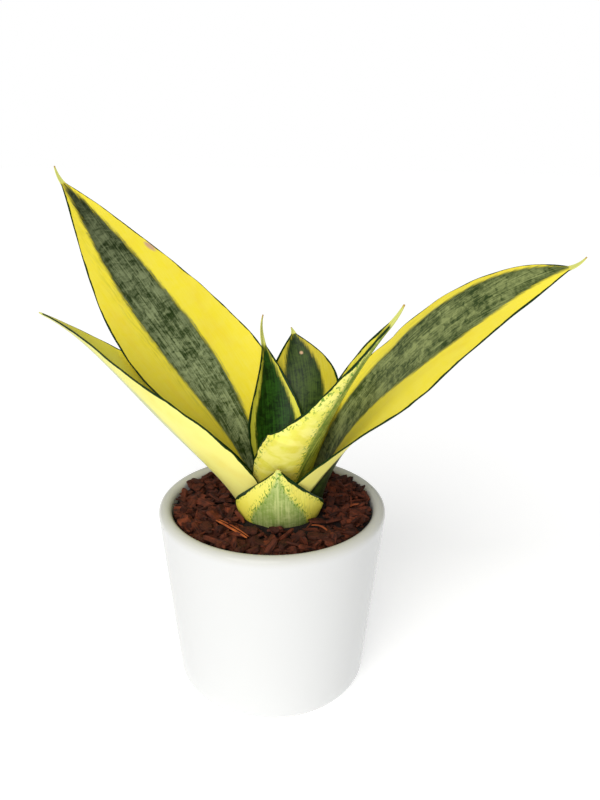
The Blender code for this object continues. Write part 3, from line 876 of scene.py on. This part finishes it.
def scatter(count, sizes, lift, tilt, dice, heap):
    """Chips at seeded places over the bed, turned and tilted, each a given height above bed_height."""
    limits = np.array(sizes)
    size = dice.uniform(limits[:, 0], limits[:, 1], (count, 3))
    bearing = dice.uniform(0, math.tau, count)
    rim = wall_radius(BED_TOP, WALL + GAP)
    distance = np.sqrt(dice.uniform(0, 1, count)) * rim
    x, y = distance * np.cos(bearing), distance * np.sin(bearing)
    z = bed_height(x, y, heap) + dice.uniform(*lift, count) + size[:, 2] * CHIP_REST
    shapes, grains = chip_shapes(size, dice)
    turns = turned_by(dice.uniform(0, math.tau, count), *(dice.normal(0, math.radians(tilt), (2, count))))
    shapes = np.einsum("nij,nrsj->nrsi", turns, shapes)
    places = np.stack([x, y, z], axis=1)
    shapes = shapes + places[:, None, None]
    past_wall = np.hypot(shapes[..., 0], shapes[..., 1]) - wall_radius(shapes[..., 2], WALL + GAP)
    over = past_wall.max(axis=(1, 2))
    push = np.maximum(over + WALL_CLEARANCE, 0)[:, None] * places[:, :2] / np.maximum(distance, 1e-6)[:, None]
    places[:, :2] -= push
    shapes[..., :2] -= push[:, None, None]
    return places, shapes, grains


def packed_chips(dice):
    """Each packed chip again in detail, on its own centre, axes and size, read from its corners."""
    names = sorted(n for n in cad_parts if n.startswith("bark_chip_"))
    places, turns, sizes = [], [], []
    for name in names:
        corners = np.array([v.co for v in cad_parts[name].data.vertices])
        middle = (corners.max(axis=0) + corners.min(axis=0)) / 2
        axes = np.linalg.svd(corners - corners.mean(axis=0), full_matrices=False)[2]
        axes[2] = np.cross(axes[0], axes[1])
        places.append(middle)
        turns.append(axes.T)
        sizes.append(np.ptp((corners - middle) @ axes.T, axis=0))
    shapes, grains = chip_shapes(np.array(sizes) * PACKED_SWELL, dice)
    places = np.array(places)
    return names, np.einsum("nij,nrsj->nrsi", np.array(turns), shapes) + places[:, None, None], grains


# The loose kinds: ranges of length, width and height, range of lift over the bed, and tilt in degrees
LOOSE_BARK = {
    "chunks": (((0.005, 0.0120), (0.0032, 0.0072), (0.0018, 0.0038)), (-0.0012, 0.0030), 25),
    "splinters": (((0.005, 0.013), (0.0009, 0.0020), (0.0007, 0.0014)), (0.0012, 0.0036), 14),
    "crumbs": (((0.0012, 0.0034), (0.0009, 0.0024), (0.0008, 0.0020)), (0.0, 0.0034), 30),
}


def build_bark(settings):
    """Bark mulch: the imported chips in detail, with loose chunks, splinters and crumbs round them."""
    dice = np.random.default_rng(BARK_SEED)
    material = bark_material(settings)
    names, shapes, grains = packed_chips(dice)
    mesh = chips_mesh("bark_chips", shapes, grains, dice.uniform(0.1, 0.9, len(shapes)), settings.heap)
    shown("bark_chips", mesh, material, names, smooth=False)

    trees = leaf_trees()
    for kind, form in LOOSE_BARK.items():
        places, shapes, grains = scatter(getattr(settings, kind), *form, dice, settings.heap)
        tones = dice.beta(0.8, 1.5, len(places))
        kept = clear_of_leaves(places, shapes, trees)
        mesh = chips_mesh("bark_" + kind, shapes[kept], grains[kept], tones[kept], settings.heap)
        shown("bark_" + kind, mesh, material, smooth=False)
    build_slivers(settings, material)


SLIVER_RING = 10
SLIVER_ROWS = 36


SLIVER_LIFT = 0.0036


def build_slivers(settings, material):
    """Pale slivers of inner bark on top. Each is a flat oval carried along a parabola through three places,
    lifted in an arch off bed_height, and narrowed to its ends on a quarter power of a parabola."""
    share = np.linspace(0, 1, SLIVER_ROWS)[:, None]
    arched = 4 * share * (1 - share)
    angle = np.arange(SLIVER_RING) / SLIVER_RING * math.tau
    shapes, grains, tones = [], [], []
    for start, middle, end, width, arch, tone in SLIVERS:
        start, middle, end = (np.array(place) for place in (start, middle, end))
        line = start * (1 - share) * (1 - 2 * share) + middle * arched + end * share * (2 * share - 1)
        height = np.linspace(*bed_height(*np.array([start, end]).T, settings.heap), SLIVER_ROWS)[:, None]
        line = np.hstack([line, height + SLIVER_LIFT + arch * arched])
        run = np.gradient(line, axis=0)
        aside = np.cross([0, 0, 1], run)
        aside = aside / np.linalg.norm(aside, axis=1, keepdims=True)
        above = np.cross(run, aside)
        above = above / np.linalg.norm(above, axis=1, keepdims=True)
        slim = (0.08 + 0.92 * arched**0.25) * width / 2
        flat = np.cos(angle)[:, None] * aside[:, None] + 0.45 * np.sin(angle)[:, None] * above[:, None]
        walked = np.cumsum(np.linalg.norm(run, axis=1))[:, None] + 0 * angle
        shapes.append(line[:, None] + slim[..., None] * flat)
        grains.append(np.stack([np.cos(angle) * slim, walked, 0 * walked + tone], axis=-1))
        tones.append(0 * walked + tone)
    mesh = tube_mesh("bark_slivers", np.array(shapes))
    write(mesh, grain=grains, tone=tones, sunk=0 * np.array(tones))
    return shown("bark_slivers", mesh, material)


# Leaves


def along_leaf(values, share):
    """A smooth curve through four values, at shares 0, 1/3, 2/3 and 1 of the length."""
    u = 3 * share
    first, second, third, fourth = values
    return (
        first * (1 - u) * (2 - u) * (3 - u) / 6
        + second * u * (2 - u) * (3 - u) / 2
        + third * u * (u - 1) * (3 - u) / 2
        + fourth * u * (u - 1) * (u - 2) / 6
    )


def leaf_width(leaf, share):
    """Width over the curve: it swells on a sine from the sheath, then tapers on a power to the tip."""
    sheath = 2 * math.radians(leaf.fold[0]) * leaf.wrap_radius
    below = np.clip(share / leaf.widest_at, 0, 1)
    above = np.clip((share - leaf.widest_at) / (1 - leaf.widest_at), 0, 1)
    swelling = sheath + (leaf.width - sheath) * np.sin(math.pi / 2 * below) ** leaf.rise
    tapering = TIP_WIDTH + (leaf.width - TIP_WIDTH) * (1 - above**leaf.fullness)
    return np.where(share < leaf.widest_at, swelling, tapering)


def leaf_frames(leaf, share, beyond):
    """For each row: a point of the middle line, the direction across, the way the gutter opens, and the
    length walked. The middle line is summed from its direction, a compass angle and a lean. Past the tip,
    beyond runs from 0 to 1 along the spine, and the direction turns towards the spine's own."""
    compass = np.radians(along_leaf(leaf.compass, share) + (leaf.spine_compass - leaf.compass[3]) * beyond)
    lean = np.radians(along_leaf(leaf.lean, share) + (leaf.spine_lean - leaf.lean[3]) * beyond)
    twist = np.radians(along_leaf(leaf.twist, share))
    upward, outward = np.cos(lean), np.sin(lean)
    direction = np.stack([outward * np.cos(compass), outward * np.sin(compass), upward], axis=1)
    inner = np.stack([-upward * np.cos(compass), -upward * np.sin(compass), outward], axis=1)
    sideways = np.cross(inner, direction)
    turn, keep = np.sin(twist)[:, None], np.cos(twist)[:, None]
    opening = keep * inner + turn * sideways
    across = keep * sideways - turn * inner
    walked = leaf.length * share + leaf.spine_length * beyond
    steps = (direction[1:] + direction[:-1]) / 2 * np.diff(walked)[:, None]
    start = math.radians(leaf.compass[0])
    foot = CROWN + leaf.wrap_radius * np.array([math.cos(start), math.sin(start)])
    foot = np.array([*foot, leaf.base_height])
    return foot + np.vstack([np.zeros(3), np.cumsum(steps, axis=0)]), across, opening, walked


SPINE_ROWS = 40
ROUND_STEPS = 7
WAVE_SPACING = 0.011
LEAST_FOLD = 0.01
# Shares of the half width that a rounded margin and its dark line may take
ROUND_LIMIT = 0.45
LINE_LIMIT = 0.34
FRINGE_AWAY = 0.0025
FRINGE_REACH = 0.0030
# Along the spine: the band ends, and the spine's own colour, the plain margin and the dry point take over
BAND_END = 0.01
SPINE_BLEND = 0.15
LINE_END = 0.2
DRY_FROM = 0.80
# Painted shade at the underside's base: what each channel is multiplied by at the base, and the share of the
# length that it fades over
PAINTED_SHADE_TO = np.array([0.50, 0.44, 0.30])
PAINTED_SHADE_REACH = 0.24


def leaf_colours(look, share, side):
    """The three colours of each point. On the underside the flank changes towards the tip on a power of 1.5,
    and all darken to the base on a bell curve of painted shade. On the upper face the band's two tones are
    lifted in a straight line, as painted light that lightens the base."""
    share, side = share[..., None], side[..., None]
    tip = share**1.5
    # Painted shade, deepest at the base of the underside
    deep = look.shade * side * np.exp(-((share / PAINTED_SHADE_REACH) ** 2))
    # Painted light: the band's two tones are lifted in a straight line from the base to the tip
    painted_light_lifts = look.lift[0] + (look.lift[1] - look.lift[0]) * share
    colours = {}
    for name, top, under, far, lift in (
        ("flank", look.flank, look.under_flank, look.under_tip, 1.0),
        ("dark", look.dark, look.under_dark, look.under_dark, painted_light_lifts),
        ("light", look.light, look.under_light, look.under_light, painted_light_lifts),
    ):
        top, under, far = (np.array(linear(colour)) for colour in (top, under, far))
        mixed = top * lift * (1 - side) + (under * (1 - tip) + far * tip) * side
        mixed = mixed * (1 - (1 - PAINTED_SHADE_TO) * deep)
        colours[name] = np.concatenate([mixed, np.ones(side.shape)], axis=-1)
    return colours


def build_leaf(leaf, number, material, settings):
    """A closed loft of bent gutter slices. Across a slice, the upper face runs from margin to margin on a
    circle's arc, a half round turns over each margin, and the underside bulges away on a parabola."""
    look = LOOKS[leaf.name]
    share = np.concatenate([np.linspace(0, 1, settings.blade_rows + 1), np.ones(SPINE_ROWS)])
    beyond = np.concatenate([np.zeros(settings.blade_rows + 1), np.linspace(0, 1, SPINE_ROWS + 1)[1:]])
    middle, across, opening, walked = leaf_frames(leaf, share, beyond)
    share, beyond, walked = share[:, None], beyond[:, None], walked[:, None]
    thick, thin = (np.interp(share + beyond, (0, 1, 2), row) for row in (MIDDLE_THICKNESS, EDGE_THICKNESS))
    half = (leaf_width(leaf, share) + (SPINE_END_WIDTH - TIP_WIDTH) * beyond) / 2
    radius = half / np.maximum(np.radians(along_leaf(leaf.fold, share)), LEAST_FOLD)
    rim = np.minimum(thin / 2, half * ROUND_LIMIT)

    face = np.linspace(-1, 1, settings.columns)[None, :]
    turn = np.linspace(0, math.pi, ROUND_STEPS)[None, 1:-1]
    flat, blank = half - rim, 0 * rim
    stretches = (  # the place across, the offset away from the upper face, and the share of underside
        (face * flat, 0 * face + blank, 0 * face + blank),
        (flat + rim * np.sin(turn), rim * (1 - np.cos(turn)), turn / math.pi + blank),
        (-face * flat, 2 * rim + (thick - 2 * rim) * (1 - face**2), 1 + 0 * face + blank),
        (-flat - rim * np.sin(turn), rim * (1 + np.cos(turn)), 1 - turn / math.pi + blank),
    )
    place, offset, side = (np.concatenate(parts, axis=1) for parts in zip(*stretches))
    fade = np.sin(math.pi * share) ** 0.7
    waves = (waver(walked / WAVE_SPACING, 10 * number + hand) for hand in (1, 2))
    spread = np.abs(np.clip(place / half, -1, 1))
    lift = settings.ripple * np.where(place > 0, *waves) * spread**2.5 * fade
    sideways = (radius + offset) * np.sin(place / radius)
    rising = radius - (radius + offset) * np.cos(place / radius) + lift
    points = middle[:, None] + sideways[..., None] * across[:, None] + rising[..., None] * opening[:, None]
    mesh = tube_mesh(leaf.name + "_blade", points[None])

    upper = side < 0.5
    along = np.broadcast_to(share, place.shape)
    centre = np.where(upper, along_leaf(look.centre, along), along_leaf(look.under_centre, along)) * half
    reach = np.where(upper, along_leaf(look.half, along), along_leaf(look.under_half, along)) * half
    band = reach - np.abs(place - centre)
    fringe = np.exp(-(((band + FRINGE_AWAY) / FRINGE_REACH) ** 2)) * (place > centre)
    scar = 0 * place
    for at, across_at, long, wide in look.scars:
        far = ((walked - at * leaf.length) / long) ** 2 + ((place - across_at * half) / wide) ** 2
        scar = np.maximum(scar, np.clip(1.5 - far, 0, 1) * upper)
    values = {
        "margin": np.maximum(half - np.abs(place), 0),
        "band": band - BAND_END * beyond,
        "stripes": look.stripes[0] + (look.stripes[1] - look.stripes[0]) * side,
        "cream": look.cream[0] + (look.cream[1] - look.cream[0]) * side,
        "fringe": look.fringe * fringe * fade,
        "specks": look.specks * side,
        "keel": look.keel * side,
        "scar": scar,
        "spine": np.clip(beyond / SPINE_BLEND, 0, 1),
        "dry": np.clip((beyond - DRY_FROM) / (1 - DRY_FROM), 0, 1) ** 1.5,
        "rim_line": np.minimum(look.rim_line, LINE_LIMIT * half) * (1 - np.clip(beyond / LINE_END, 0, 1)),
    }
    grain = np.stack([place, walked + 0 * place, number * 9.0 + side * 4.0], axis=-1)
    values = {name: np.broadcast_to(part, place.shape) for name, part in values.items()}
    write(mesh, grain=grain, **values, **leaf_colours(look, along, side))
    return shown(leaf.name + "_blade", mesh, material, [leaf.name])


# Stage


def stage_material(name, colour, light, strength):
    """A dull surface that also shines with a light of its own."""
    own = {"Emission_Color": rgba(light), "Emission_Strength": strength}
    return new_material(name, Base_Color=rgba(colour), Roughness=0.9, Specular_IOR_Level=0.0, **own)[0]


FLOOR_RADIUS = 4.0
FLOOR_DEPTH = 0.01
FLOOR_STEPS = 96
SURROUND_RADIUS = 4.2
SURROUND_STEPS = 48
SKY = (0.97, 0.985, 1.0, 1.0)
KEY_FROM = (-0.25, -0.80, 0.53)
KEY_SPREAD = 50
KEY_COLOUR = (1.0, 0.985, 0.955)
CAMERA_PLACE = (0.0136, -0.37917, 0.29641)
CAMERA_PITCH = 19.96
CAMERA_ROLL = 0.87
SENSOR_WIDTH = 36.0
CLIP = (0.01, 20.0)


def build_stage(settings):
    """A pale lit floor, a white surround that only the camera sees, a broad key light from the front left,
    and the camera."""
    scene = bpy.context.scene
    scene.view_settings.view_transform = "Standard"
    scene.view_settings.look = "None"
    scene.world = bpy.data.worlds.new("soft_surround")
    scene.world.use_nodes = True
    feed(scene.world.node_tree.nodes["Background"], {"Color": SKY, "Strength": settings.ambient})

    disc = np.array([[0, 0], [FLOOR_RADIUS, 0], [FLOOR_RADIUS, -FLOOR_DEPTH], [0, -FLOOR_DEPTH]], float)
    bend = np.linspace(-math.pi / 2, math.pi / 2, SURROUND_STEPS // 2 + 1)
    ball = SURROUND_RADIUS * np.stack([np.cos(bend), np.sin(bend)], axis=1)
    ball[[0, -1], 0] = 0
    glow, white, black = settings.glow, (1, 1, 1), (0, 0, 0)
    floor = bpy.data.objects.new("pale_floor", lathed("pale_floor", disc, FLOOR_STEPS))
    surround = bpy.data.objects.new("white_surround", lathed("white_surround", ball, SURROUND_STEPS))
    floor.data.materials.append(stage_material("pale_lit_floor", settings.floor, settings.floor, glow))
    surround.data.materials.append(stage_material("white_surround", black, white, 1.0))
    for piece in (floor, surround):
        scene.collection.objects.link(piece)
        piece.data.polygons.foreach_set("use_smooth", np.zeros(len(piece.data.polygons), bool))
    for ray in ("diffuse", "glossy", "transmission", "volume_scatter", "shadow"):
        setattr(surround, "visible_" + ray, False)

    key = bpy.data.lights.new("broad_key", "SUN")
    key.energy, key.angle, key.color = settings.key, math.radians(KEY_SPREAD), KEY_COLOUR
    lamp = bpy.data.objects.new("broad_key", key)
    lamp.rotation_euler = Vector(KEY_FROM).to_track_quat("Z", "Y").to_euler()
    scene.collection.objects.link(lamp)

    lens = bpy.data.cameras.new("camera")
    lens.lens, lens.sensor_width = settings.lens, SENSOR_WIDTH
    lens.clip_start, lens.clip_end = CLIP
    camera = bpy.data.objects.new("camera", lens)
    pitch = math.radians(CAMERA_PITCH)
    back = Vector((0, -math.cos(pitch), math.sin(pitch)))
    right = Vector((1, 0, 0))
    level = Matrix((right, back.cross(right), back)).transposed()
    turn = level @ Matrix.Rotation(math.radians(CAMERA_ROLL), 3, "Z")
    camera.matrix_world = Matrix.Translation(CAMERA_PLACE) @ turn.to_4x4()
    scene.collection.objects.link(camera)
    scene.camera = camera


# Add-on


class PLANT_OT_pot(bpy.types.Operator):
    """Build the glazed pot"""

    bl_idname = "snake_plant.pot"
    bl_label = "Glazed pot"

    def execute(self, context):
        build_pot(context.scene.plant_pot)
        return {"FINISHED"}


class PLANT_OT_filling(bpy.types.Operator):
    """Finish the potting mix and the rhizome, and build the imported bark"""

    bl_idname = "snake_plant.filling"
    bl_label = "Potting mix and bark bed"

    def execute(self, context):
        settings = context.scene.plant_bark
        mix = crumbly_material("peat_and_coir_mix", settings.soil, settings.dark, MIX_GRIT)
        rootstock = crumbly_material("rhizome_skin", linear("#C9A468"), linear("#8A6A3C"), RHIZOME_GRIT)
        for name, material in (("potting_mix", mix), ("rhizome", rootstock)):
            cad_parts[name].material_slots[0].material = material
        build_bed(settings)
        return {"FINISHED"}


class PLANT_OT_bark(bpy.types.Operator):
    """Build the bark mulch"""

    bl_idname = "snake_plant.bark"
    bl_label = "Bark mulch"

    def execute(self, context):
        build_bark(context.scene.plant_bark)
        return {"FINISHED"}


class PLANT_OT_leaves(bpy.types.Operator):
    """Build the seven leaves"""

    bl_idname = "snake_plant.leaves"
    bl_label = "Leaves"

    def execute(self, context):
        settings = context.scene.plant_leaves
        material = blade_material(settings)
        for number, leaf in enumerate(LEAVES):
            build_leaf(leaf, number, material, settings)
        return {"FINISHED"}


class PLANT_OT_stage(bpy.types.Operator):
    """Set up the floor, the light and the camera"""

    bl_idname = "snake_plant.stage"
    bl_label = "Stage"

    def execute(self, context):
        build_stage(context.scene.plant_stage)
        return {"FINISHED"}


OPERATORS = (PLANT_OT_pot, PLANT_OT_filling, PLANT_OT_bark, PLANT_OT_leaves, PLANT_OT_stage)
SETTINGS = {
    "plant_pot": PotSettings,
    "plant_bark": BarkSettings,
    "plant_leaves": LeafSettings,
    "plant_stage": StageSettings,
}


class PLANT_PT_panel(bpy.types.Panel):
    """Lists the pieces and their settings"""

    bl_idname = "PLANT_PT_panel"
    bl_label = "Potted snake plant"
    bl_space_type = "VIEW_3D"
    bl_region_type = "UI"
    bl_category = "Plant"

    def draw(self, context):
        for operator in OPERATORS:
            self.layout.operator(operator.bl_idname)
        for name in SETTINGS:
            box = self.layout.box()
            settings = getattr(context.scene, name)
            for field in settings.__annotations__:
                box.prop(settings, field)


def register():
    for made in (*SETTINGS.values(), *OPERATORS, PLANT_PT_panel):
        bpy.utils.register_class(made)
    for name, made in SETTINGS.items():
        setattr(bpy.types.Scene, name, PointerProperty(type=made))


def unregister():
    for name in SETTINGS:
        delattr(bpy.types.Scene, name)
    for made in (PLANT_PT_panel, *reversed(OPERATORS), *reversed(SETTINGS.values())):
        bpy.utils.unregister_class(made)


def main():
    register()
    for operator in OPERATORS:
        family, piece = operator.bl_idname.split(".")
        getattr(getattr(bpy.ops, family), piece)()


if __name__ == "__main__":
    main()
